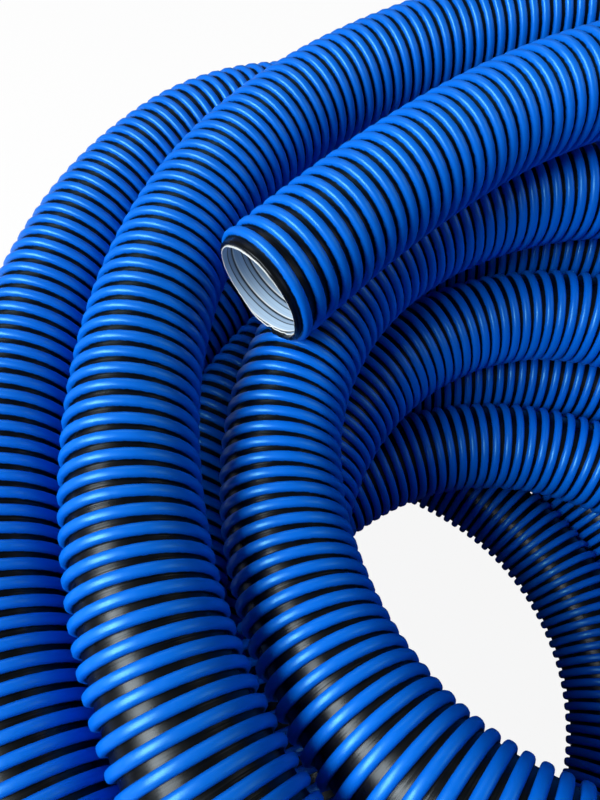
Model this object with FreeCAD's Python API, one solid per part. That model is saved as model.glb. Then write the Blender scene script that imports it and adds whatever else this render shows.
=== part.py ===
import FreeCAD, Part
import math
import os

# A ribbed vacuum hose in a loose coil, cut square at both ends.
# The wall is built in three layers: a pale inner liner, a black wall and a raised wear rib.
# Sizes are in millimetres. The hose stands on z = 0, centred under its own outline.

V = FreeCAD.Vector
os.makedirs("parts", exist_ok=True)
doc = FreeCAD.newDocument("vacuum_hose")

# Driving dimensions
DIMENSIONS = [
    ("bore_radius", 19.0),
    ("liner_thickness", 0.9),
    ("wall_thickness", 1.5),
    ("rib_height", 2.6),
    ("rib_root", 0.5),
    ("rib_pitch", 6.2),
    ("rib_crest", 3.0),
    ("rib_flank", 0.7),
    ("liner_reach", 3.0),
    ("layer_gap", 3.7),
    ("floor_cut", 0.5),
    ("ground_radius", 182.0),
    ("coil_radius", 142.0),
    ("top_bend_radius", 125.0),
    ("ground_turn_gap", 3.5),
    ("second_turn_gap", 7.5),
    ("third_turn_gap", 4.1),
    ("top_turn_gap", 42.7),
    ("end_climb", 60.0),
]

sheet = doc.addObject("Spreadsheet::Sheet", "sizes")
for row, (alias, value) in enumerate(DIMENSIONS, start=1):
    sheet.set("A%d" % row, alias)
    sheet.set("B%d" % row, str(value))
    sheet.setAlias("B%d" % row, alias)
doc.recompute()

bore_radius = sheet.bore_radius
liner_radius = bore_radius + sheet.liner_thickness
wall_radius = liner_radius + sheet.wall_thickness
hose_radius = wall_radius + sheet.rib_height
hose_width = 2 * hose_radius
straight_end = hose_width
layer_step = hose_width + sheet.layer_gap
ground_level = hose_radius - sheet.floor_cut
top_level = ground_level + 3 * layer_step

# The four layers of the pile, from the floor up. The hose spirals out, in, out and in again.
# Each has its centre, the radius and gap of its turns, how far its centre drifts with each
# turn outward, and how far the turns fan out on the side away from the free end.
LAYERS = [
    {"x": -11, "y": 72, "radius": sheet.ground_radius, "gap": sheet.ground_turn_gap,
     "drift_x": 0, "drift_y": 0, "fan": 36},
    {"x": 67, "y": 36, "radius": sheet.coil_radius, "gap": sheet.second_turn_gap,
     "drift_x": 0, "drift_y": -5, "fan": 36},
    {"x": 122, "y": 103, "radius": sheet.coil_radius, "gap": sheet.third_turn_gap,
     "drift_x": 0, "drift_y": -2, "fan": 0},
    {"x": 120, "y": 129, "radius": sheet.coil_radius, "gap": sheet.top_turn_gap,
     "drift_x": 34, "drift_y": 3, "fan": -55},
]
TURNS_PER_LAYER = 3
LAST_MARK = len(LAYERS) * TURNS_PER_LAYER - 1
MARK_ANGLE = 150
FAN_ANGLE = 330
FIRST_TURN = -0.75

# The far end winds in faster than the rest, so that its straight run clears the next turn
FAR_END_WINDING = 1.17

# The two outer turns of the top layer ride up on those below them
TOP_LIFT = {9: 14, 10: 28}

# The top layer's inner turn lies off the drift of the others, and shifts there within a turn
INNER_SHIFT_X = -5
INNER_SHIFT_Y = -14
INNER_SHIFT = (0.30, 0.50)

# Where a layer ends the spiral reverses and climbs. Each turnaround has how many turns the
# spiral runs on past its end, and the share of the turn where it climbs and where it shifts.
TURNAROUNDS = {
    2: {"reach": 0.6, "climb": (0.30, 0.50), "shift": (0.15, 0.70)},
    5: {"reach": -0.56, "climb": (0.40, 0.20), "shift": (0.11, 0.80)},
    8: {"reach": 0.5, "climb": (0.25, 0.50), "shift": (0.27, 0.70)},
}

# The last climb runs into one bend, from which the free end leaves along a straight line
TOP_BEND_X = 197
TOP_BEND_Y = 176
TOP_BEND_TURN = 0.85
TOP_CLIMB = (0.05, 0.45)
BEND_END_TURN = LAST_MARK + 0.90

# The coil's solids end here, on the far side of the top layer. The last loop is ribbed.
JOINT_TURN = LAST_MARK - 0.21

# The free end crosses over the top layer: one gentle corner, then straight to the cut
CORNER_REACH = 38.0
CUT_END = (-170, -126, 11)


def ease(share):
    share = max(0.0, min(1.0, share))
    return share * share * (3 - 2 * share)


def turn_count(mark):
    # How many turns out from the layer's inner turn a mark lies
    place = mark % TURNS_PER_LAYER
    outward = (mark // TURNS_PER_LAYER) % 2 == 0
    return place if outward else TURNS_PER_LAYER - 1 - place


def layer_circle(layer, turns):
    size = LAYERS[layer]
    return (
        size["x"] + size["drift_x"] * turns,
        size["y"] + size["drift_y"] * turns,
        size["radius"] + (hose_width + size["gap"]) * turns,
        size["fan"] * turns,
    )


def blend(first, second, share):
    return tuple(a + (b - a) * share for a, b in zip(first, second))


def shifted(circle, share):
    return blend(circle, (circle[0] + INNER_SHIFT_X, circle[1] + INNER_SHIFT_Y) + circle[2:], share)


def mark_level(mark):
    return ground_level + (mark // TURNS_PER_LAYER) * layer_step + TOP_LIFT.get(mark, 0)


def circle_and_level(turn):
    mark = math.floor(turn)
    share = turn - mark
    if mark < 0:
        return layer_circle(0, turn * FAR_END_WINDING), ground_level
    if mark >= LAST_MARK:
        start, span = TOP_CLIMB
        bend = (TOP_BEND_X, TOP_BEND_Y, sheet.top_bend_radius, 0)
        way = math.sin(math.pi / 2 * min(1.0, share / TOP_BEND_TURN)) ** 2
        level = top_level + sheet.end_climb * ease((share - start) / span)
        return blend(shifted(layer_circle(len(LAYERS) - 1, 0), 1), bend, way), level
    low = mark // TURNS_PER_LAYER
    high = (mark + 1) // TURNS_PER_LAYER
    turns = turn_count(mark) + (turn_count(mark + 1) - turn_count(mark)) * share
    if low == high:
        climb_start, climb_span = 0.25, 0.5
        circle = layer_circle(low, turns)
        if mark == LAST_MARK - 1:
            shift_start, shift_span = INNER_SHIFT
            circle = shifted(circle, ease((share - shift_start) / shift_span))
    else:
        turnaround = TURNAROUNDS[mark]
        climb_start, climb_span = turnaround["climb"]
        shift_start, shift_span = turnaround["shift"]
        turns += turnaround["reach"] * (1 - abs(2 * share - 1))
        way = ease((share - shift_start) / shift_span)
        circle = blend(layer_circle(low, turns), layer_circle(high, turns), way)
    climbed = ease((share - climb_start) / climb_span)
    level = mark_level(mark) + (mark_level(mark + 1) - mark_level(mark)) * climbed
    return circle, level


def coil_point(turn):
    (x, y, radius, fan), level = circle_and_level(turn)
    angle = math.radians(MARK_ANGLE + 360 * turn)
    spread = max(0.0, math.cos(angle - math.radians(FAN_ANGLE))) ** 2
    radius += fan * spread
    return V(x + radius * math.cos(angle), y + radius * math.sin(angle), level)


def coil_direction(turn):
    step = 0.01
    direction = coil_point(turn + step) - coil_point(turn - step)
    return direction.normalize()


def arc_in_corner(start, corner, end):
    # The arc that leaves start towards the corner and comes to end from it
    weight = (end - start).Length / 2 / corner.distanceToPoint(start)
    middle = (start + corner * (2 * weight) + end) * (1 / (2 + 2 * weight))
    return Part.Arc(start, middle, end).toShape()


def biarc(start, start_way, end, end_way):
    across = end - start
    ways = start_way + end_way
    turning = 2 * (1 - start_way.dot(end_way))
    along = across.dot(ways)
    reach = (math.sqrt(along * along + turning * across.dot(across)) - along) / turning
    first_corner = start + start_way * reach
    second_corner = end - end_way * reach
    middle = (first_corner + second_corner) * 0.5
    return [arc_in_corner(start, first_corner, middle), arc_in_corner(middle, second_corner, end)]


def quarter_turns(first, last):
    return [first + quarter / 4 for quarter in range(int((last - first) * 4) + 1)]


def bends_through(points, ways):
    edges = []
    for i in range(len(points) - 1):
        edges += biarc(points[i], ways[i], points[i + 1], ways[i + 1])
    return edges


def coil_wire():
    # From the far end up to the joint with the last loop, straight for a hose width at both ends
    turns = quarter_turns(FIRST_TURN, JOINT_TURN - 0.25)
    points = [coil_point(turn) for turn in turns]
    ways = [coil_direction(turn) for turn in turns]
    joint = coil_point(JOINT_TURN)
    joint_way = coil_direction(JOINT_TURN)
    start = points[0] - ways[0] * straight_end
    points.append(joint - joint_way * straight_end)
    ways.append(joint_way)
    edges = [Part.LineSegment(start, points[0]).toShape()]
    edges += bends_through(points, ways)
    edges.append(Part.LineSegment(points[-1], joint).toShape())
    return Part.Wire(edges)


def last_loop_wire():
    # From the joint round the last loop and up over the pile to the cut end
    joint = coil_point(JOINT_TURN)
    joint_way = coil_direction(JOINT_TURN)
    turns = quarter_turns(LAST_MARK, BEND_END_TURN) + [BEND_END_TURN]
    points = [joint + joint_way * straight_end] + [coil_point(turn) for turn in turns]
    ways = [joint_way] + [coil_direction(turn) for turn in turns]
    corner = points[-1] + ways[-1] * (straight_end + CORNER_REACH)
    end = coil_point(BEND_END_TURN) + V(*CUT_END)
    onward = (end - corner).normalize()
    before = corner - ways[-1] * CORNER_REACH
    after = corner + onward * CORNER_REACH
    edges = [Part.LineSegment(joint, points[0]).toShape()]
    edges += bends_through(points, ways)
    edges.append(Part.LineSegment(points[-1], before).toShape())
    edges.append(arc_in_corner(before, corner, after))
    edges.append(Part.LineSegment(after, end).toShape())
    return Part.Wire(edges)


def steady_circle(centre, way, radius):
    # A circle square to the path whose own X axis stays upright, so that lofts do not twist
    upright = V(0, 0, 1)
    side = upright - way * upright.dot(way)
    axes = FreeCAD.Rotation(side, way.cross(side), way, "ZXY")
    circle = Part.makeCircle(radius)
    circle.Placement = FreeCAD.Placement(centre, axes)
    return Part.Wire([circle])


def place_on(wire, distance):
    for edge in wire.Edges:
        if distance <= edge.Length + 1e-6:
            at = edge.getParameterByLength(min(distance, edge.Length))
            return edge.valueAt(at), edge.tangentAt(at)
        distance -= edge.Length
    return edge.valueAt(edge.LastParameter), edge.tangentAt(edge.LastParameter)


def pipe_side(wire, radius):
    start, way = place_on(wire, 0)
    return wire.makePipeShell([steady_circle(start, way, radius)], False, False)


def ring_face(wire, distance, outer, inner):
    centre, way = place_on(wire, distance)
    rims = [steady_circle(centre, way, outer), steady_circle(centre, way, inner)]
    return Part.makeFace(rims, "Part::FaceMakerBullseye")


def hollow_solid(wire, outside, outer, inner):
    # Closes an outside skin with the bore's own wall and a ring at each end
    faces = outside.Faces + pipe_side(wire, inner).Faces
    faces.append(ring_face(wire, 0, outer, inner))
    faces.append(ring_face(wire, wire.Length, outer, inner))
    shell = Part.makeShell(faces)
    shell.sewShape()
    return Part.makeSolid(shell)


def tube(wire, outer, inner):
    return hollow_solid(wire, pipe_side(wire, outer), outer, inner)


def lengthened(wire, extra):
    # The same path with its last straight run made longer
    last = wire.Edges[-1]
    end = last.valueAt(last.LastParameter)
    way = last.tangentAt(last.LastParameter)
    longer = Part.LineSegment(last.valueAt(last.FirstParameter), end + way * extra).toShape()
    return Part.Wire(wire.Edges[:-1] + [longer])


def ribbed_sleeve(wire):
    root = wall_radius + sheet.rib_root
    rib = 2 * sheet.rib_flank + sheet.rib_crest
    count = int(wire.Length / sheet.rib_pitch)
    margin = (wire.Length - (count - 1) * sheet.rib_pitch - rib) / 2
    stations = [(0.0, root)]
    for i in range(count):
        foot = margin + i * sheet.rib_pitch
        stations.append((foot, root))
        stations.append((foot + sheet.rib_flank, hose_radius))
        stations.append((foot + sheet.rib_flank + sheet.rib_crest, hose_radius))
        stations.append((foot + rib, root))
    stations.append((wire.Length, root))
    circles = []
    for distance, radius in stations:
        centre, way = place_on(wire, distance)
        circles.append(steady_circle(centre, way, radius))
    print("ribs on the last loop: %d" % count)
    return hollow_solid(wire, Part.makeLoft(circles, False, True), root, wall_radius)


def flat_underneath(shape):
    box = shape.BoundBox
    slab = Part.makeBox(
        box.XLength + hose_width, box.YLength + hose_width, hose_width,
        V(box.XMin - hose_radius, box.YMin - hose_radius, -hose_width),
    )
    return shape.cut(slab)


def least_gap(wires):
    # The least gap of the hose to itself, between points at least a quarter turn apart
    spacing = 8.0
    points = []
    for wire in wires:
        points += wire.discretize(Number=int(wire.Length / spacing))
    apart = int(4 * hose_width / spacing)
    least = 1e9
    for i in range(len(points)):
        one = points[i]
        for j in range(i + apart, len(points)):
            other = points[j]
            rise = one.z - other.z
            if abs(rise) > 2 * hose_width or abs(one.x - other.x) > 2 * hose_width:
                continue
            least = min(least, one.distanceToPoint(other))
    return least - hose_width


def check_volume(name, shape, outer, inner, length):
    expected = math.pi * (outer ** 2 - inner ** 2) * length
    print("%s volume is %.4f of section times length" % (name, shape.Volume / expected))


coil_path = coil_wire()
end_path = last_loop_wire()
liner_path = lengthened(end_path, sheet.liner_reach)

coil_sleeve = flat_underneath(tube(coil_path, hose_radius, wall_radius))
end_sleeve = ribbed_sleeve(end_path)
shapes = {
    "coil_liner": tube(coil_path, liner_radius, bore_radius),
    "coil_wall": tube(coil_path, wall_radius, liner_radius),
    "coil_wear_rib": coil_sleeve,
    "last_loop_liner": tube(liner_path, liner_radius, bore_radius),
    "last_loop_wall": tube(end_path, wall_radius, liner_radius),
    "last_loop_wear_rib": end_sleeve,
}
check_volume("coil_liner", shapes["coil_liner"], liner_radius, bore_radius, coil_path.Length)
check_volume("coil_wall", shapes["coil_wall"], wall_radius, liner_radius, coil_path.Length)
check_volume("coil_wear_rib", coil_sleeve, hose_radius, wall_radius, coil_path.Length)

# The origin is on the floor under the middle of the outline
outline = coil_sleeve.optimalBoundingBox()
outline.add(end_sleeve.optimalBoundingBox())
shift = V(-outline.Center.x, -outline.Center.y, 0)
for name, shape in shapes.items():
    feature = doc.addObject("Part::Feature", name)
    feature.Label = name
    feature.Shape = shape
    feature.Placement = FreeCAD.Placement(shift, FreeCAD.Rotation())
doc.recompute()

for item in doc.Objects:
    if "Invalid" in item.State or "Error" in item.State:
        raise RuntimeError("%s did not build" % item.Label)
for name in shapes:
    shape = doc.getObject(name).Shape
    if shape.isNull() or not shape.isValid():
        raise RuntimeError("%s is not a valid solid" % name)

radii = [edge.Curve.Radius for edge in coil_path.Edges if hasattr(edge.Curve, "Radius")]
print("hose length %.0f, of which the coil is %.0f" % (
    coil_path.Length + liner_path.Length, coil_path.Length))
print("tightest bend radius of the coil %.0f" % min(radii))
print("least gap of the hose to itself %.2f" % least_gap([coil_path, end_path]))
print("shift %.3f %.3f" % (shift.x, shift.y))
last_place, last_way = place_on(end_path, end_path.Length)
print("free end at %s, pointing along %s" % (last_place + shift, last_way))
print("far end at %s, pointing along %s" % (place_on(coil_path, 0)[0] + shift, place_on(coil_path, 0)[1]))

for name in shapes:
    shape = doc.getObject(name).Shape
    print("%s: %d solid, %.0f cubic mm" % (name, len(shape.Solids), shape.Volume))
    shape.exportStep("parts/%s.step" % name)
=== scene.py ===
import math

import bpy
import numpy as np
from mathutils import Matrix, Vector


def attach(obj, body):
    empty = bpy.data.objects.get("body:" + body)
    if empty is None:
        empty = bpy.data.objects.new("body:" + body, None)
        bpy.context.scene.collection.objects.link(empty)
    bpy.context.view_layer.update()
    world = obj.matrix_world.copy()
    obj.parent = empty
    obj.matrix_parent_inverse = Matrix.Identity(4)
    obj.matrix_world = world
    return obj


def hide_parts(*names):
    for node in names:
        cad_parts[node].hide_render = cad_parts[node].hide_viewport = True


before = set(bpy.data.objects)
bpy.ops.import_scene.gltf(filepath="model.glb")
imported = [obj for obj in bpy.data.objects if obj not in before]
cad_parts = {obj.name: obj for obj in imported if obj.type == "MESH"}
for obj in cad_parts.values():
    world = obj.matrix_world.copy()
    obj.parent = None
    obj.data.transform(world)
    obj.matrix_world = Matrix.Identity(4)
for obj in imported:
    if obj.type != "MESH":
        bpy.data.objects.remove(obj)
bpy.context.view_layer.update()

# A ribbed vacuum hose in a loose coil. Its sizes and route are written in millimetres, and each
# piece is made in metres.

MM = 0.001
SHIFT = (-69.152, -93.934, 0.0)

# Section of the hose
BORE_R = 19.0
LINER_R = 19.9
WALL_R = 21.4
HOSE_R = 24.0
PITCH = 6.4
FLOOR_CUT = 0.5

# Route of the coil, as in the CAD model
HOSE_WIDTH = 2 * HOSE_R
LAYER_STEP = HOSE_WIDTH + 3.7
GROUND_LEVEL = HOSE_R - FLOOR_CUT
TOP_LEVEL = GROUND_LEVEL + 3 * LAYER_STEP
LAYERS = [
    {"x": -11, "y": 72, "radius": 182, "gap": 3.5, "drift_x": 0, "drift_y": 0, "fan": 36},
    {"x": 67, "y": 36, "radius": 142, "gap": 7.5, "drift_x": 0, "drift_y": -5, "fan": 36},
    {"x": 122, "y": 103, "radius": 142, "gap": 4.1, "drift_x": 0, "drift_y": -2, "fan": 0},
    {"x": 120, "y": 129, "radius": 142, "gap": 42.7, "drift_x": 34, "drift_y": 3, "fan": -55},
]
TURNS_PER_LAYER = 3
LAST_MARK = len(LAYERS) * TURNS_PER_LAYER - 1
MARK_ANGLE = 150
FAN_ANGLE = 330
FIRST_TURN = -0.75
FAR_END_WINDING = 1.17
FAR_END_RUN = 38.0
TOP_LIFT = {9: 14, 10: 28}
TURNAROUNDS = {
    2: {"reach": 0.6, "climb": (0.30, 0.50), "shift": (0.15, 0.70)},
    5: {"reach": -0.56, "climb": (0.40, 0.20), "shift": (0.11, 0.80)},
    8: {"reach": 0.5, "climb": (0.25, 0.50), "shift": (0.27, 0.70)},
}
INNER_SHIFT = (-5, -14)
INNER_SHIFT_SHARE = (0.30, 0.50)
TOP_BEND = (197, 176, 125, 0)
TOP_BEND_TURN = 0.85
TOP_CLIMB = (0.05, 0.45)
END_CLIMB = 60.0
EVEN_CLIMB = (0.25, 0.5)
BEND_END_TURN = LAST_MARK + 0.90

# Moves that bring the strands to where the photograph shows them, a run for each strand: turn of
# the coil, and millimetres along x, y and z. Most come from a fit to points measured on the
# photographed strands, rounded to the millimetre
STRAND_MOVES = [
    [(-0.76, 5, 5, 0), (-0.62, 8, -14, 0), (-0.5, 12, -26, 1), (-0.4, 8, -32, 0),
     (-0.3, 4, -34, 0), (-0.2, -1, -32, 0), (-0.1, -3, -23, 0), (0, -2, -12, 0), (0.15, 0, 0, 0)],
    [(0.4, 0, 0, 0), (0.52, -9, -6, 1), (0.62, -24, -14, 0), (0.72, -23, -14, 0),
     (0.85, -7, -4, 1), (1, 0, 0, 0), (1.15, 0, 0, 0)],
    [(3.5, 0, 0, 0), (3.65, 5, 0, 1), (3.78, 8, -3, 2), (3.9, 6, -8, -1), (4.1, 3, -6, -1),
     (4.3, 1, -3, -1), (4.5, 0, 0, 0)],
    [(4.6, 0, 0, 0), (4.75, 1, -2, 1), (4.85, 5, -3, 3), (4.95, 5, -5, 2), (5.15, 3, -3, 1),
     (5.4, 0, 0, 0)],
    [(5.7, 0, 0, 0), (5.82, 0, 2, 0), (5.95, 0, 2, 0), (6.1, 0, 1, 0), (6.3, 0, 0, 0)],
    [(6.6, 0, 0, 0), (6.75, -1, -1, -1), (6.9, -2, -1, -2), (7.05, -1, 0, -1), (7.25, 0, 0, 0)],
    [(8.52, 0, 0, 0), (8.62, 0, 12, -1), (8.7, 0, 17, -4), (8.77, -1, 9, -12),
     (8.83, -5, -27, -25), (8.89, -14, -69, -35), (8.96, -16, -42, 1), (9.07, 1, -8, 3),
     (9.18, 5, 12, -1), (9.29, 4, 16, -1), (9.4, 2, 9, -1), (9.6, 0, 0, 0)],
    [(9.6, 0, 0, 0), (9.7, -6, -2, 1), (9.79, -11, -5, 1), (9.89, -12, -8, 2), (9.98, -12, -7, 5),
     (10.07, -3, -4, 4), (10.16, 1, -4, 2), (10.28, 1, -3, 1), (10.5, 0, 0, 0)],
    [(10.55, 0, 0, 0), (10.72, -1, 1, 0), (10.82, -3, 2, -1), (10.91, -4, 2, -1),
     (11.01, -3, 3, 1), (11.11, 1, -2, 0), (11.21, -2, -8, 0), (11.3, -3, -8, 0),
     (11.4, -2, -5, 0), (11.6, 0, 0, 0)],
    [(11.5, 0, 0, 0), (11.62, -1, 1, 0), (11.75, -5, -2, -4), (11.88, -4, 0, -11)],
]

# The free end over the pile, to the cut, in the coil's own frame, fitted in the same way
FREE_END = [
    (135.8, 292.7, 226.3), (117.2, 287.9, 226.3), (98.1, 280.3, 226.4), (78.3, 269.8, 226.7),
    (58, 256.6, 227), (37, 240.5, 227.4), (15.4, 221.6, 227.9), (-6.7, 199.9, 228.6),
    (-30.1, 174.7, 229.3),
]
POINTS_PER_TURN = 24


def ease(share):
    share = max(0.0, min(1.0, share))
    return share * share * (3 - 2 * share)


def turn_count(mark):
    place = mark % TURNS_PER_LAYER
    outward = (mark // TURNS_PER_LAYER) % 2 == 0
    return place if outward else TURNS_PER_LAYER - 1 - place


def layer_circle(layer, turns):
    size = LAYERS[layer]
    return (
        size["x"] + size["drift_x"] * turns,
        size["y"] + size["drift_y"] * turns,
        size["radius"] + (HOSE_WIDTH + size["gap"]) * turns,
        size["fan"] * turns,
    )


def blend(first, second, share):
    return tuple(a + (b - a) * share for a, b in zip(first, second))


def shifted(circle, share):
    target = (circle[0] + INNER_SHIFT[0], circle[1] + INNER_SHIFT[1]) + circle[2:]
    return blend(circle, target, share)


def mark_level(mark):
    return GROUND_LEVEL + (mark // TURNS_PER_LAYER) * LAYER_STEP + TOP_LIFT.get(mark, 0)


def circle_and_level(turn):
    mark = math.floor(turn)
    share = turn - mark
    if mark < 0:
        return layer_circle(0, turn * FAR_END_WINDING), GROUND_LEVEL
    if mark >= LAST_MARK:
        start, span = TOP_CLIMB
        way = math.sin(math.pi / 2 * min(1.0, share / TOP_BEND_TURN)) ** 2
        level = TOP_LEVEL + END_CLIMB * ease((share - start) / span)
        return blend(shifted(layer_circle(len(LAYERS) - 1, 0), 1), TOP_BEND, way), level
    low = mark // TURNS_PER_LAYER
    high = (mark + 1) // TURNS_PER_LAYER
    turns = turn_count(mark) + (turn_count(mark + 1) - turn_count(mark)) * share
    if low == high:
        climb_start, climb_span = EVEN_CLIMB
        circle = layer_circle(low, turns)
        if mark == LAST_MARK - 1:
            shift_start, shift_span = INNER_SHIFT_SHARE
            circle = shifted(circle, ease((share - shift_start) / shift_span))
    else:
        turnaround = TURNAROUNDS[mark]
        climb_start, climb_span = turnaround["climb"]
        shift_start, shift_span = turnaround["shift"]
        turns += turnaround["reach"] * (1 - abs(2 * share - 1))
        way = ease((share - shift_start) / shift_span)
        circle = blend(layer_circle(low, turns), layer_circle(high, turns), way)
    climbed = ease((share - climb_start) / climb_span)
    level = mark_level(mark) + (mark_level(mark + 1) - mark_level(mark)) * climbed
    return circle, level


def coil_point(turn):
    (x, y, radius, fan), level = circle_and_level(turn)
    angle = math.radians(MARK_ANGLE + 360 * turn)
    spread = max(0.0, math.cos(angle - math.radians(FAN_ANGLE))) ** 2
    radius += fan * spread
    return Vector((x + radius * math.cos(angle), y + radius * math.sin(angle), level))


def knot_slope(run, i):
    if i in (0, len(run) - 1):
        return Vector((0, 0, 0))
    before, after = run[i - 1], run[i + 1]
    return (Vector(after[1:]) - Vector(before[1:])) / (after[0] - before[0])


def strand_move(turn):
    move = Vector((0, 0, 0))
    for run in STRAND_MOVES:
        if not run[0][0] <= turn <= run[-1][0]:
            continue
        i = max(k for k in range(len(run) - 1) if run[k][0] <= turn)
        span = run[i + 1][0] - run[i][0]
        s = (turn - run[i][0]) / span
        move += Vector(run[i][1:]) * (2 * s ** 3 - 3 * s ** 2 + 1)
        move += Vector(run[i + 1][1:]) * (3 * s ** 2 - 2 * s ** 3)
        move += knot_slope(run, i) * span * (s ** 3 - 2 * s ** 2 + s)
        move += knot_slope(run, i + 1) * span * (s ** 3 - s ** 2)
    return move


def route_points():
    steps = round((BEND_END_TURN - FIRST_TURN) * POINTS_PER_TURN)
    turns = [FIRST_TURN + i / POINTS_PER_TURN for i in range(steps)]
    points = [coil_point(turn) + strand_move(turn) for turn in turns]
    way = (points[0] - points[1]).normalized()
    points = [points[0] + way * FAR_END_RUN, points[0] + way * FAR_END_RUN / 2] + points
    points += [Vector(p) for p in FREE_END]
    return [(p + Vector(SHIFT)) * MM for p in points]


# Materials


def new_material(name):
    material = bpy.data.materials.new(name)
    material.use_nodes = True
    nodes = material.node_tree.nodes
    return material, nodes, material.node_tree.links, nodes["Principled BSDF"]


def add_node(nodes, kind, **values):
    node = nodes.new(kind)
    for name, value in values.items():
        if hasattr(node, name):
            setattr(node, name, value)
        else:
            node.inputs[name.replace("_", " ")].default_value = value
    return node


def ramp(nodes, stops):
    node = nodes.new("ShaderNodeValToRGB")
    elements = node.color_ramp.elements
    while len(elements) < len(stops):
        elements.new(0.5)
    for element, (place, colour) in zip(elements, stops):
        element.position = place
        element.color = colour
    return node


def grey(value):
    return (value, value, value, 1.0)


BLUE = (0.0003, 0.178, 0.90, 1)
SMEAR = (0.001, 0.004, 0.015, 1)
SMEAR_DEPTH = 0.12
PALE = (0.48, 0.66, 0.84, 1)
# Painted highlight along the liner's lapped edge
LAP_HIGHLIGHT = (0.84, 0.92, 0.95, 1)
SEAM = (0.04, 0.07, 0.11, 1)
# Painted shade in the liner's groove
GROOVE_SHADE = (0.012, 0.022, 0.035, 1)


def rib_material():
    material, nodes, links, shader = new_material("wear_rib_blue")
    place = nodes.new("ShaderNodeTexCoord")
    uv = nodes.new("ShaderNodeUVMap")
    uv.uv_map = "hose"
    split = nodes.new("ShaderNodeSeparateXYZ")
    links.new(uv.outputs["UV"], split.inputs["Vector"])
    # The black of the wall smears ragged up the rib's flanks
    smear = add_node(nodes, "ShaderNodeTexNoise", Scale=650.0, Detail=3.0)
    links.new(place.outputs["Object"], smear.inputs["Vector"])
    spread = add_node(nodes, "ShaderNodeMath", operation="MULTIPLY_ADD")
    spread.inputs[1].default_value = SMEAR_DEPTH
    spread.inputs[2].default_value = -SMEAR_DEPTH / 2
    links.new(smear.outputs["Fac"], spread.inputs[0])
    edge = add_node(nodes, "ShaderNodeMath", operation="ADD")
    links.new(split.outputs["X"], edge.inputs[0])
    links.new(spread.outputs["Value"], edge.inputs[1])
    flank = ramp(nodes, [(0.07, SMEAR), (0.13, BLUE), (0.87, BLUE), (0.93, SMEAR)])
    links.new(edge.outputs["Value"], flank.inputs["Fac"])
    cloud = add_node(nodes, "ShaderNodeTexNoise", Scale=28.0, Detail=3.0)
    links.new(place.outputs["Object"], cloud.inputs["Vector"])
    shade = ramp(nodes, [(0.3, grey(0.86)), (0.7, grey(1.0))])
    links.new(cloud.outputs["Fac"], shade.inputs["Fac"])
    mix = nodes.new("ShaderNodeMix")
    mix.data_type = "RGBA"
    mix.blend_type = "MULTIPLY"
    mix.inputs["Factor"].default_value = 1.0
    links.new(flank.outputs["Color"], mix.inputs["A"])
    links.new(shade.outputs["Color"], mix.inputs["B"])
    links.new(mix.outputs["Result"], shader.inputs["Base Color"])
    grain = add_node(nodes, "ShaderNodeTexNoise", Scale=420.0, Detail=3.0)
    links.new(place.outputs["Object"], grain.inputs["Vector"])
    rough = ramp(nodes, [(0.35, grey(0.31)), (0.75, grey(0.42))])
    links.new(grain.outputs["Fac"], rough.inputs["Fac"])
    links.new(rough.outputs["Color"], shader.inputs["Roughness"])
    bump = add_node(nodes, "ShaderNodeBump", Strength=0.12, Distance=0.0003)
    links.new(grain.outputs["Fac"], bump.inputs["Height"])
    links.new(bump.outputs["Normal"], shader.inputs["Normal"])
    shader.inputs["IOR"].default_value = 1.75
    shader.inputs["Specular Tint"].default_value = (0.32, 0.93, 1.0, 1)
    return material


def wall_material():
    material, nodes, links, shader = new_material("wall_black")
    place = nodes.new("ShaderNodeTexCoord")
    uv = nodes.new("ShaderNodeUVMap")
    uv.uv_map = "hose"
    split = nodes.new("ShaderNodeSeparateXYZ")
    links.new(uv.outputs["UV"], split.inputs["Vector"])
    # Fine lines of the extruded strip run along the helix
    lines = add_node(nodes, "ShaderNodeTexNoise", Scale=9.0, Detail=2.0)
    lines.noise_dimensions = "1D"
    links.new(split.outputs["X"], lines.inputs["W"])
    shade = ramp(nodes, [(0.35, (0.001, 0.0015, 0.0025, 1)), (0.62, (0.002, 0.0025, 0.004, 1)),
                         (0.8, (0.008, 0.009, 0.011, 1))])
    links.new(lines.outputs["Fac"], shade.inputs["Fac"])
    links.new(shade.outputs["Color"], shader.inputs["Base Color"])
    cloud = add_node(nodes, "ShaderNodeTexNoise", Scale=160.0, Detail=4.0)
    links.new(place.outputs["Object"], cloud.inputs["Vector"])
    rough = ramp(nodes, [(0.3, grey(0.25)), (0.75, grey(0.38))])
    links.new(cloud.outputs["Fac"], rough.inputs["Fac"])
    links.new(rough.outputs["Color"], shader.inputs["Roughness"])
    bump = add_node(nodes, "ShaderNodeBump", Strength=0.5, Distance=0.0002)
    links.new(lines.outputs["Fac"], bump.inputs["Height"])
    links.new(bump.outputs["Normal"], shader.inputs["Normal"])
    shader.inputs["IOR"].default_value = 1.43
    shader.inputs["Specular Tint"].default_value = (0.82, 0.93, 1.0, 1)
    return material


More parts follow.
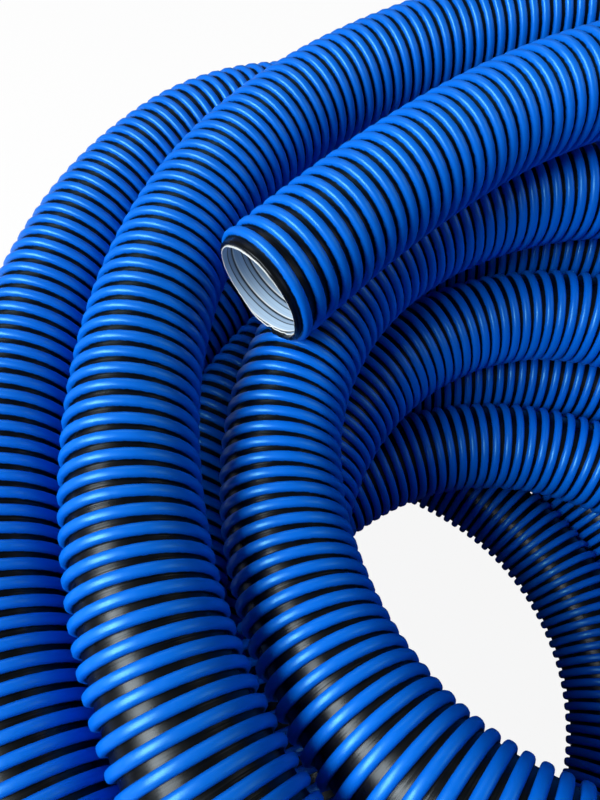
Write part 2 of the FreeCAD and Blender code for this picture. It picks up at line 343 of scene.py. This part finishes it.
def liner_material():
    material, nodes, links, shader = new_material("liner_pale")
    place = nodes.new("ShaderNodeTexCoord")
    uv = nodes.new("ShaderNodeUVMap")
    uv.uv_map = "hose"
    split = nodes.new("ShaderNodeSeparateXYZ")
    links.new(uv.outputs["UV"], split.inputs["Vector"])
    # Each pitch has a painted highlight on the lapped edge, the strip, a seam, a narrower strip
    # with painted shading across it and painted shade in the groove
    phase = nodes.new("ShaderNodeMath")
    phase.operation = "FRACT"
    links.new(split.outputs["X"], phase.inputs[0])
    bands = ramp(nodes, [(0.0, LAP_HIGHLIGHT), (0.06, LAP_HIGHLIGHT), (0.09, PALE), (0.24, PALE),
                         (0.27, (0.36, 0.52, 0.68, 1)), (0.30, PALE), (0.54, PALE), (0.57, SEAM),
                         (0.61, SEAM), (0.64, (0.30, 0.43, 0.58, 1)), (0.75, (0.36, 0.50, 0.66, 1)),
                         (0.85, (0.24, 0.35, 0.48, 1)), (0.88, GROOVE_SHADE), (0.96, GROOVE_SHADE),
                         (1.0, LAP_HIGHLIGHT)])
    links.new(phase.outputs["Value"], bands.inputs["Fac"])
    links.new(bands.outputs["Color"], shader.inputs["Base Color"])
    cloud = add_node(nodes, "ShaderNodeTexNoise", Scale=300.0, Detail=4.0)
    links.new(place.outputs["Object"], cloud.inputs["Vector"])
    rough = ramp(nodes, [(0.3, grey(0.34)), (0.7, grey(0.5))])
    links.new(cloud.outputs["Fac"], rough.inputs["Fac"])
    links.new(rough.outputs["Color"], shader.inputs["Roughness"])
    bump = add_node(nodes, "ShaderNodeBump", Strength=0.15, Distance=0.0002)
    links.new(cloud.outputs["Fac"], bump.inputs["Height"])
    links.new(bump.outputs["Normal"], shader.inputs["Normal"])
    return material


def rim_material():
    material, nodes, links, shader = new_material("liner_edge")
    place = nodes.new("ShaderNodeTexCoord")
    cloud = add_node(nodes, "ShaderNodeTexNoise", Scale=220.0, Detail=4.0)
    links.new(place.outputs["Object"], cloud.inputs["Vector"])
    shade = ramp(nodes, [(0.3, (0.62, 0.70, 0.72, 1)), (0.6, (0.86, 0.91, 0.90, 1))])
    links.new(cloud.outputs["Fac"], shade.inputs["Fac"])
    links.new(shade.outputs["Color"], shader.inputs["Base Color"])
    bump = add_node(nodes, "ShaderNodeBump", Strength=0.3, Distance=0.0002)
    links.new(cloud.outputs["Fac"], bump.inputs["Height"])
    links.new(bump.outputs["Normal"], shader.inputs["Normal"])
    shader.inputs["Roughness"].default_value = 0.45
    return material


RIB_BLUE = rib_material()
WALL_BLACK = wall_material()
LINER_PALE = liner_material()
LINER_EDGE = rim_material()


# The hose's centreline

SPLINE_STEPS = 10
WAY_STEP = 4 * MM


def spline_points(points):
    """The smooth line of the route, read from a NURBS spline with these control points."""
    data = bpy.data.curves.new("hose_route", "CURVE")
    data.dimensions = "3D"
    data.resolution_u = SPLINE_STEPS
    spline = data.splines.new("NURBS")
    spline.points.add(len(points) - 1)
    for target, point in zip(spline.points, points):
        target.co = (*point, 1.0)
    spline.order_u = 3
    spline.use_endpoint_u = True
    route = bpy.data.objects.new("hose_route", data)
    bpy.context.collection.objects.link(route)
    mesh = bpy.data.meshes.new_from_object(route)
    line = np.empty(3 * len(mesh.vertices))
    mesh.vertices.foreach_get("co", line)
    bpy.data.meshes.remove(mesh)
    bpy.data.objects.remove(route)
    bpy.data.curves.remove(data)
    return line.reshape(-1, 3)


class Centreline:
    """The hose's middle by distance along it, with a side and an upward direction."""

    def __init__(self, line):
        steps = np.linalg.norm(np.diff(line, axis=0), axis=1)
        keep = np.r_[True, steps > 1e-7]
        self.line = line[keep]
        self.distance = np.r_[0.0, np.cumsum(np.linalg.norm(np.diff(self.line, axis=0), axis=1))]
        self.length = self.distance[-1]

    def at(self, distance):
        inside = np.clip(distance, 0.0, self.length)
        place = np.stack([np.interp(inside, self.distance, self.line[:, i]) for i in range(3)], 1)
        after = np.clip(inside + WAY_STEP, 0.0, self.length)
        before = np.clip(inside - WAY_STEP, 0.0, self.length)
        way = np.stack([np.interp(after, self.distance, self.line[:, i])
                        - np.interp(before, self.distance, self.line[:, i]) for i in range(3)], 1)
        way /= np.linalg.norm(way, axis=1)[:, None]
        place += way * (distance - inside)[:, None]
        side = np.cross(way, (0.0, 0.0, 1.0))
        side /= np.linalg.norm(side, axis=1)[:, None]
        up = np.cross(side, way)
        return place, way, side, up


HOSE = Centreline(spline_points(route_points()))


def make_object(name, points, faces, uvs, material):
    """A piece from points (n, 3), faces (m, 4) and uvs (m, 4, 2), kept above the floor."""
    points[:, 2] = np.maximum(points[:, 2], 0.0)
    mesh = bpy.data.meshes.new(name)
    mesh.vertices.add(len(points))
    mesh.vertices.foreach_set("co", points.astype(np.float32).ravel())
    mesh.loops.add(4 * len(faces))
    mesh.loops.foreach_set("vertex_index", faces.astype(np.int32).ravel())
    mesh.polygons.add(len(faces))
    mesh.polygons.foreach_set("loop_start", np.arange(0, 4 * len(faces), 4, dtype=np.int32))
    mesh.polygons.foreach_set("use_smooth", np.ones(len(faces), dtype=bool))
    layer = mesh.uv_layers.new(name="hose")
    layer.data.foreach_set("uv", uvs.astype(np.float32).ravel())
    mesh.update(calc_edges=True)
    mesh.validate()
    mesh.materials.append(material)
    piece = bpy.data.objects.new(name, mesh)
    bpy.context.collection.objects.link(piece)
    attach(piece, "root")
    return piece


def strip_faces(rows, columns, closed):
    """Quads between rows of points; closed joins the last column to the first."""
    row = np.arange(rows - 1)[:, None]
    column = np.arange(columns if closed else columns - 1)[None, :]
    following = (column + 1) % columns
    corners = [row * columns + column, row * columns + following,
               (row + 1) * columns + following, (row + 1) * columns + column]
    return np.stack([c + 0 * row + 0 * column for c in corners], -1).reshape(-1, 4)


# The wear rib: one helix from end to end, in lengths that join end to end

RIB_PROFILE = [
    (-1.98, WALL_R - 0.15), (-1.96, WALL_R + 0.80), (-1.80, WALL_R + 1.60),
    (-1.42, WALL_R + 2.17), (-0.88, WALL_R + 2.48), (0.00, HOSE_R - 0.01), (0.88, WALL_R + 2.48),
    (1.42, WALL_R + 2.17), (1.80, WALL_R + 1.60), (1.96, WALL_R + 0.80), (1.98, WALL_R - 0.15),
]
RIB_SEGMENTS = 32
RIB_PIECES = 10
RIB_START_MARGIN = 3.2
RIB_END_MARGIN = 4.3
RIB_END_ANGLE = math.radians(270)
RIB_RUN_OUT = 0.06
RIB_SINK = 0.2
UV_LENGTH = 50
# Near the cut the rib's spacing is uneven: turns back from there, and millimetres towards the cut
RIB_UNEVEN = [
    (0, -0.5), (0.1, 0.0), (0.18, 1.0), (0.28, 1.8), (0.36, 1.8), (0.49, 1.35), (0.58, 0.95),
    (0.75, 0.6), (1.0, 0.5), (1.33, 0.65), (1.49, 0.55), (2.0, 0.2), (3.0, 0),
]


def rib_pieces():
    span = HOSE.length / MM - RIB_START_MARGIN - RIB_END_MARGIN
    stations = int(span / PITCH * RIB_SEGMENTS) + 1
    cuts = np.linspace(0, stations - 1, RIB_PIECES + 1).astype(int)
    offsets = np.array([w for w, r in RIB_PROFILE]) * MM
    radii = np.array([r for w, r in RIB_PROFILE]) * MM
    count = len(RIB_PROFILE)
    pieces = []
    for index, (start, stop) in enumerate(zip(cuts, cuts[1:]), 1):
        number = np.arange(start, stop + 1)
        back = (stations - 1 - number) / RIB_SEGMENTS
        uneven = np.interp(back, *zip(*RIB_UNEVEN))
        distance = HOSE.length - (RIB_END_MARGIN + PITCH * back - uneven) * MM
        angle = RIB_END_ANGLE - 2 * math.pi * back
        place, way, side, up = HOSE.at(distance)
        outward = side * np.cos(angle)[:, None] + up * np.sin(angle)[:, None]
        # Both ends of the rib run out into the wall
        ends = np.clip(np.minimum(back, number / RIB_SEGMENTS) / RIB_RUN_OUT, 0, 1)[:, None]
        height = WALL_R * MM + (radii[None, :] - WALL_R * MM) * ends - RIB_SINK * MM * (1 - ends)
        points = (place[:, None, :] + outward[:, None, :] * height[:, :, None]
                  + way[:, None, :] * offsets[None, :, None])
        faces = strip_faces(len(number), count, False)
        u = np.broadcast_to(np.linspace(0, 1, count), (len(number), count)).ravel()
        v = np.repeat(distance / MM / UV_LENGTH, count)
        uvs = np.stack([u[faces], v[faces]], -1)
        pieces.append(make_object("wear_rib_%d" % index, points.reshape(-1, 3), faces[:, ::-1],
                                  uvs[:, ::-1], RIB_BLUE))
    return pieces


# The cut end isn't quite square: degrees round the hose, from its side over its top, and how many
# millimetres the liner's rim lies back, and the wall's end does

RIM_BACK = [
    (0, 3.6), (10, 3.3), (25, 2.7), (40, 2.0), (60, 1.2), (80, 0.8), (100, 0.5), (120, 0.1),
    (140, 0.1), (160, 0.3), (180, 0.3), (196, 1.2), (212, 2.1), (242, 3.1), (261, 3.5),
    (264, 2.6), (280, 2.7), (290, 3.0), (300, 3.5), (310, 3.9), (320, 4.1), (340, 3.9),
]
WALL_BACK = [
    (0, 4.2), (10, 3.9), (25, 3.3), (40, 2.6), (60, 1.8), (80, 1.3), (100, 0.9), (120, 0.4),
    (140, 0.1), (160, 0.2), (180, 0.0), (212, 0.8), (218, 1.0), (250, 2.0), (256, 2.2),
    (261, 3.2), (280, 3.3), (290, 3.6), (300, 4.1), (310, 4.5), (320, 4.7), (340, 4.5),
]
CUT_LENGTH = 12.0
# Waves of the ragged edge: size in millimetres, count round the hose, start
RAGGED = [(0.10, 11, 0), (0.07, 29, 1)]
# Degrees round the hose, and how strong the waves are there
ROUGHNESS = [(205, 0.35), (215, 1.6), (262, 1.6), (272, 0.35)]


def set_back(table, turn):
    ragged = sum(size * np.sin(2 * math.pi * count * turn + start) for size, count, start in RAGGED)
    rough = np.interp(360 * turn, *zip(*ROUGHNESS))
    return np.interp(360 * turn, *zip(*table), period=360) + ragged * rough


def round_points(distance, radius, turn):
    """Points round the hose by distance along it and radius in millimetres, and share of a turn."""
    place, way, side, up = HOSE.at(distance.ravel() * MM)
    angle = 2 * math.pi * turn.ravel()
    outward = side * np.cos(angle)[:, None] + up * np.sin(angle)[:, None]
    return place + outward * (radius.ravel() * MM)[:, None]


def tube(name, rows, columns, back, phase, material, inside):
    """A skin through rows of distance and radius; back moves the rows near the cut end."""
    distance, radius = np.array(rows, float).T
    turn = np.tile(np.arange(columns) / columns, (len(distance), 1))
    near = np.clip(1 - (HOSE.length / MM - distance) / CUT_LENGTH, 0, 1)[:, None]
    along = distance[:, None] - (near * set_back(back, turn) if back else 0 * turn)
    points = round_points(along, radius[:, None] + 0 * turn, turn)
    faces = strip_faces(len(distance), columns, True)
    corner = turn.ravel()[faces]
    corner[:, 1:3] = corner[:, 0:1] + 1.0 / columns
    u = (HOSE.length / MM - along.ravel()[faces] + PITCH * corner - phase) / PITCH
    uvs = np.stack([u, corner], -1)
    if inside:
        faces, uvs = faces[:, ::-1], uvs[:, ::-1]
    return make_object(name, points, faces, uvs, material)


def even_rows(last, step, radius):
    """Rows of one radius from the far end to last, about one step apart."""
    return [(d, radius) for d in np.linspace(0, last, int(HOSE.length / MM / step))]


def end_rows(table):
    """Rows by distance along the hose, from a table by distance back from the cut."""
    return [(HOSE.length / MM - back, radius) for back, radius in table]


# The wall: a black tube under the rib, closed by a ring at each end

WALL_COLUMNS = 40
WALL_STEP = 9
CUT_COLUMNS = 144
WALL_START = [(0.2, LINER_R), (0, LINER_R), (0, WALL_R - 0.3)]
WALL_CUT = [
    (12, WALL_R), (9.5, WALL_R), (7, WALL_R), (4.5, WALL_R), (2.5, WALL_R), (1.2, WALL_R),
    (0.5, WALL_R - 0.05), (0.1, WALL_R - 0.25), (0, WALL_R - 0.5), (0, LINER_R + 0.5),
    (0, LINER_R + 0.05), (0.4, LINER_R), (2, LINER_R),
]


def wall_pieces():
    rows = WALL_START + even_rows(HOSE.length / MM - CUT_LENGTH, WALL_STEP, WALL_R)
    main = tube("hose_wall", rows, WALL_COLUMNS, None, 0, WALL_BLACK, False)
    end = tube("wall_cut_end", end_rows(WALL_CUT), CUT_COLUMNS, WALL_BACK, 0, WALL_BLACK, False)
    return main, end


# The liner: the bore's own skin, which laps itself once each turn, and its thin edge at the cut

LAP_PLACE = 8.4
EDGE_R = LINER_R - 0.42
HIDDEN_BORE_R = BORE_R + 0.35
SEEN_BORE_R = BORE_R + 0.3
LINER_COLUMNS = 48
LINER_STEP = 20
LINER_START = [(2, LINER_R), (0, LINER_R)]
BORE_SHOWN = 150
BORE_STEP = 2
BORE_CUT = [(0.6, EDGE_R - 0.03), (0.05, EDGE_R)]
RIM_CUT = [
    (2.0, LINER_R), (0.3, LINER_R), (0.05, LINER_R - 0.03), (0, LINER_R - 0.1), (0, EDGE_R + 0.08),
    (0.05, EDGE_R), (0.4, EDGE_R - 0.02),
]


def liner_pieces():
    rows = LINER_START + even_rows(HOSE.length / MM - BORE_SHOWN, LINER_STEP, HIDDEN_BORE_R)
    main = tube("hose_liner", rows, LINER_COLUMNS, None, LAP_PLACE, LINER_PALE, True)
    rows = end_rows([(back, SEEN_BORE_R) for back in range(BORE_SHOWN, 1, -BORE_STEP)] + BORE_CUT)
    bore = tube("liner_bore", rows, CUT_COLUMNS, RIM_BACK, LAP_PLACE, LINER_PALE, True)
    rim = tube("liner_rim", end_rows(RIM_CUT), CUT_COLUMNS, RIM_BACK, 0, LINER_EDGE, False)
    return main, bore, rim


ribs = rib_pieces()
wall, wall_end = wall_pieces()
liner, bore, rim = liner_pieces()

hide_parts("coil_wall")
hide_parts("last_loop_wall")
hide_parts("coil_wear_rib")
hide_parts("last_loop_wear_rib")
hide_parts("coil_liner")
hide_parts("last_loop_liner")

PATH_STEP = 10 * MM
path = HOSE.at(np.arange(0, HOSE.length, PATH_STEP))[0]
path = np.vstack([path, HOSE.line[-1]])


# Floor, light and camera

FLOOR_HALF = 6.0
FLOOR_DARK, FLOOR_LIGHT = 0.38, 0.92
FLOOR_GLOW = 0.92
SKY = (0.80, 0.90, 1.0, 1)
SKY_STRENGTH = 0.085
# Name, place, size in metres and power in watts of each lamp
LAMPS = [
    ("key", (-1.32, -0.40, 1.56), (1.5, 0.9), 50),
    ("back", (-0.3, 1.7, 1.5), (1.2, 0.8), 2),
    ("right", (1.7, 0.2, 1.5), (1.4, 1.0), 3.5),
]
LAMP_TARGET = (0, 0, 0.1)
# The camera was fitted to the photograph in pixels, degrees and millimetres of the coil's frame
PHOTO_WIDTH = 600
FOCAL = 642.3
LOOK_DOWN = math.radians(60.9)
ROLL = math.radians(6.83)
CAMERA_PLACE = (-2.85, 29.91, 412.48)


def make_floor():
    mesh = bpy.data.meshes.new("floor")
    corners = [(x * FLOOR_HALF, y * FLOOR_HALF, 0) for x, y in ((-1, -1), (1, -1), (1, 1), (-1, 1))]
    mesh.from_pydata(corners, [], [(0, 1, 2, 3)])
    floor = bpy.data.objects.new("floor", mesh)
    bpy.context.collection.objects.link(floor)
    material, nodes, links, shader = new_material("floor_pale")
    shader.inputs["Roughness"].default_value = 0.7
    glow = nodes.new("ShaderNodeEmission")
    glow.inputs["Color"].default_value = (1, 1, 1, 1)
    glow.inputs["Strength"].default_value = 1.0
    rays = nodes.new("ShaderNodeLightPath")
    # White for the camera, with the hose's shadow, and darker for the light it throws back
    tone = ramp(nodes, [(0.0, grey(FLOOR_DARK)), (1.0, grey(FLOOR_LIGHT))])
    links.new(rays.outputs["Is Camera Ray"], tone.inputs["Fac"])
    links.new(tone.outputs["Color"], shader.inputs["Base Color"])
    share = nodes.new("ShaderNodeMath")
    share.operation = "MULTIPLY"
    share.inputs[1].default_value = FLOOR_GLOW
    links.new(rays.outputs["Is Camera Ray"], share.inputs[0])
    mix = nodes.new("ShaderNodeMixShader")
    links.new(share.outputs["Value"], mix.inputs["Fac"])
    links.new(shader.outputs["BSDF"], mix.inputs[1])
    links.new(glow.outputs["Emission"], mix.inputs[2])
    links.new(mix.outputs["Shader"], nodes["Material Output"].inputs["Surface"])
    mesh.materials.append(material)


def make_world():
    world = bpy.data.worlds.new("studio")
    bpy.context.scene.world = world
    world.use_nodes = True
    nodes = world.node_tree.nodes
    links = world.node_tree.links
    soft = nodes["Background"]
    soft.inputs["Color"].default_value = SKY
    soft.inputs["Strength"].default_value = SKY_STRENGTH
    white = nodes.new("ShaderNodeBackground")
    white.inputs["Strength"].default_value = 1.0
    white.inputs["Color"].default_value = (1, 1, 1, 1)
    rays = nodes.new("ShaderNodeLightPath")
    mix = nodes.new("ShaderNodeMixShader")
    links.new(rays.outputs["Is Camera Ray"], mix.inputs["Fac"])
    links.new(soft.outputs["Background"], mix.inputs[1])
    links.new(white.outputs["Background"], mix.inputs[2])
    links.new(mix.outputs["Shader"], nodes["World Output"].inputs["Surface"])


def make_lamp(name, place, size, power):
    data = bpy.data.lights.new(name, "AREA")
    data.shape = "RECTANGLE"
    data.size, data.size_y = size
    data.energy = power
    lamp = bpy.data.objects.new(name, data)
    bpy.context.collection.objects.link(lamp)
    lamp.location = place
    way = Vector(LAMP_TARGET) - Vector(place)
    lamp.rotation_euler = way.to_track_quat("-Z", "Y").to_euler()


def make_camera():
    place = Vector(CAMERA_PLACE) + Vector(SHIFT)
    # The floor's down direction and axes in the camera's own axes: right, down, forward
    floor_down = Vector((math.cos(LOOK_DOWN) * math.sin(ROLL),
                         math.cos(LOOK_DOWN) * math.cos(ROLL), math.sin(LOOK_DOWN)))
    floor_x = (Vector((1, 0, 0)) - floor_down * floor_down.x).normalized()
    floor_y = floor_x.cross(floor_down)
    rows = [floor_x, floor_y, -floor_down]
    right, below, forward = [Vector([row[i] for row in rows]) for i in range(3)]
    axes = Matrix((right, -below, -forward)).transposed().to_4x4()
    data = bpy.data.cameras.new("camera")
    data.sensor_fit = "HORIZONTAL"
    data.sensor_width = 36.0
    data.lens = FOCAL / PHOTO_WIDTH * data.sensor_width
    data.clip_start = 0.005
    camera = bpy.data.objects.new("camera", data)
    bpy.context.collection.objects.link(camera)
    camera.matrix_world = Matrix.Translation(place * MM) @ axes
    bpy.context.scene.camera = camera


make_floor()
make_world()
for lamp in LAMPS:
    make_lamp(*lamp)
make_camera()
bpy.context.scene.view_settings.view_transform = "Standard"
